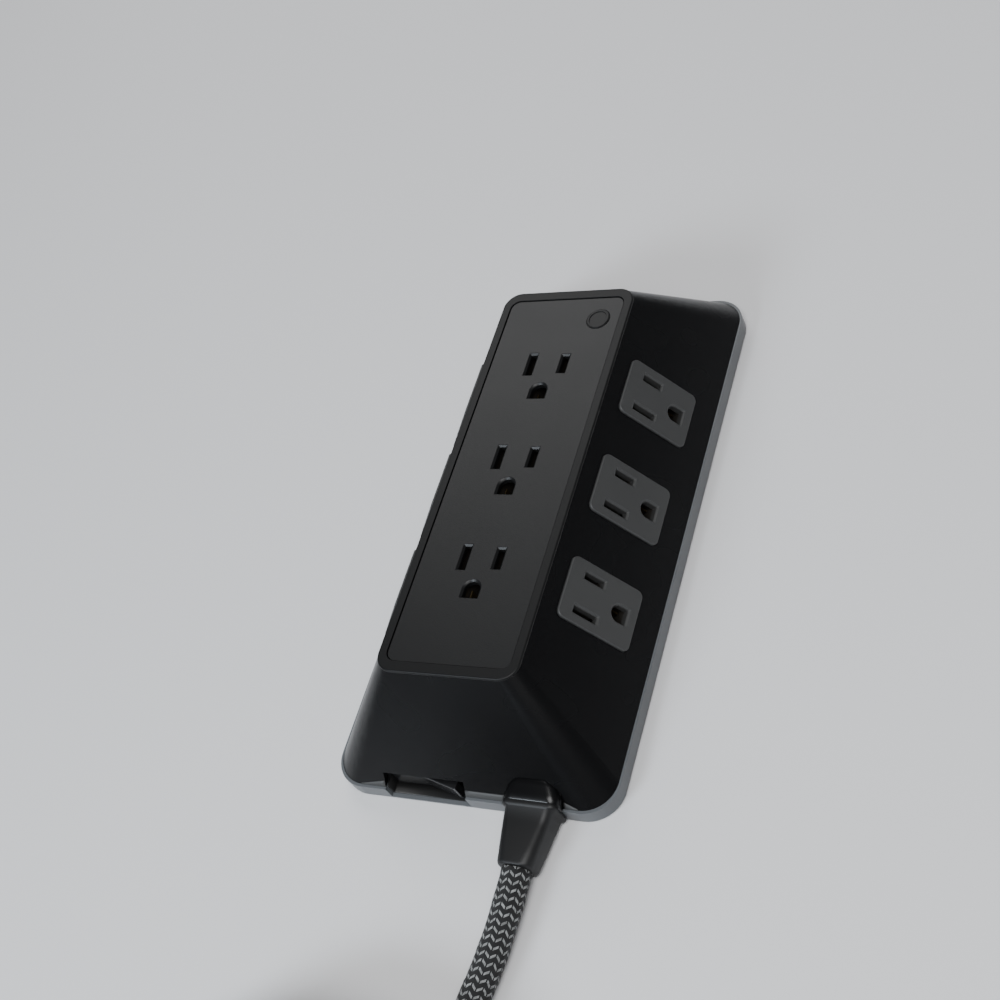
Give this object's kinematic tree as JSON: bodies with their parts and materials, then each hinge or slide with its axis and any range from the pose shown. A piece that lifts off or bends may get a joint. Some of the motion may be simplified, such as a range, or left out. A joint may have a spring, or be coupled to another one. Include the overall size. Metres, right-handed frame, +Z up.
{
  "type": "surge protector strip",
  "caption": "Low hipped surge protector strip with outlets in its flat top and sloping sides, a rocker switch, and a braided cord with a flat plug.",
  "frame": {"origin": "centre of the housing's underside", "axes": "+X across the strip to its right seen from the cord end, +Y along it away from the cord, +Z up out of the top outlets"},
  "size_m": [0.1495, 0.4184, 0.0433],
  "materials": {
    "cover": "gloss black moulded plastic",
    "base": "satin mid grey moulded plastic",
    "matte_grey": "fine matte dark grey plastic",
    "badge": "plain round badge",
    "rocker": "black rocker",
    "switch_case": "black switch case",
    "insulator": "off-white insulating plastic",
    "contact_brass": "stamped brass",
    "plated_steel": "zinc plated steel",
    "board": "green circuit board",
    "varistor": "blue epoxy coating",
    "fuse": "ceramic-filled body",
    "capacitor": "yellow film capacitor case",
    "ferrite": "ferrite core",
    "copper": "enamelled copper wire",
    "wire_black": "black wire insulation",
    "wire_white": "white wire insulation",
    "wire_green": "green wire insulation",
    "relief": "black moulded rubber",
    "braid": "black braid with pale grey flecks",
    "tie": "black woven strap",
    "plug": "dark grey plug",
    "plug_cap": "slate grey textured plug cap",
    "blade": "nickel plated brass blades"
  },
  "bodies": {
    "root": {"base_housing": "base", "cover_housing": "cover", "top_bezel": "matte_grey", "top_panel": "matte_grey", "panel_badge": "badge", "right_outlet_plate_1": "matte_grey", "right_outlet_plate_2": "matte_grey", "right_outlet_plate_3": "matte_grey", "left_outlet_plate_1": "matte_grey", "left_outlet_plate_2": "matte_grey", "left_outlet_plate_3": "matte_grey", "housing_screws": "plated_steel", "top_contact_carrier": "insulator", "right_contact_carrier": "insulator", "left_contact_carrier": "insulator", "top_hot_bus": "contact_brass", "top_neutral_bus": "contact_brass", "top_ground_bus": "contact_brass", "right_hot_bus": "contact_brass", "right_neutral_bus": "contact_brass", "right_ground_bus": "contact_brass", "left_hot_bus": "contact_brass", "left_neutral_bus": "contact_brass", "left_ground_bus": "contact_brass", "circuit_board": "board", "board_screws": "plated_steel", "varistor_discs": "varistor", "thermal_fuse": "fuse", "film_capacitor": "capacitor", "choke_core": "ferrite", "choke_winding": "copper", "switch_body": "switch_case", "switch_terminals": "contact_brass", "lead_hot": "wire_black", "lead_switched": "wire_black", "lead_neutral": "wire_white", "lead_ground": "wire_green", "hot_links": "wire_black", "neutral_links": "wire_white", "ground_links": "wire_green", "strain_relief": "relief", "cord_run": "braid", "cord_tail": "braid", "cord_coil": "braid", "cord_tie": "tie", "plug_body": "plug", "plug_face_cap": "plug_cap", "plug_strain_relief": "relief", "plug_blade_hot": "blade", "plug_blade_neutral": "blade", "plug_ground_pin": "blade"},
    "rocker": {"switch_rocker": "rocker"},
    "contact_lever": {"switch_contact_lever": "contact_brass"}
  },
  "joints": [
    {"name": "rocker_hinge", "type": "hinge", "parent": "root", "child": "rocker", "pos_m": [-0.015, -0.0945, 0.00615], "axis": [0, 0, 1], "range_deg": [0, 14]},
    {"name": "contact_hinge", "type": "hinge", "parent": "root", "child": "contact_lever", "pos_m": [-0.015, -0.0866, 0.00615], "axis": [0, 0, 1], "range_deg": [-14, 0]}
  ],
  "couplings": [
    {"joint": "contact_hinge", "follows": "rocker_hinge", "ratio": -1}
  ]
}
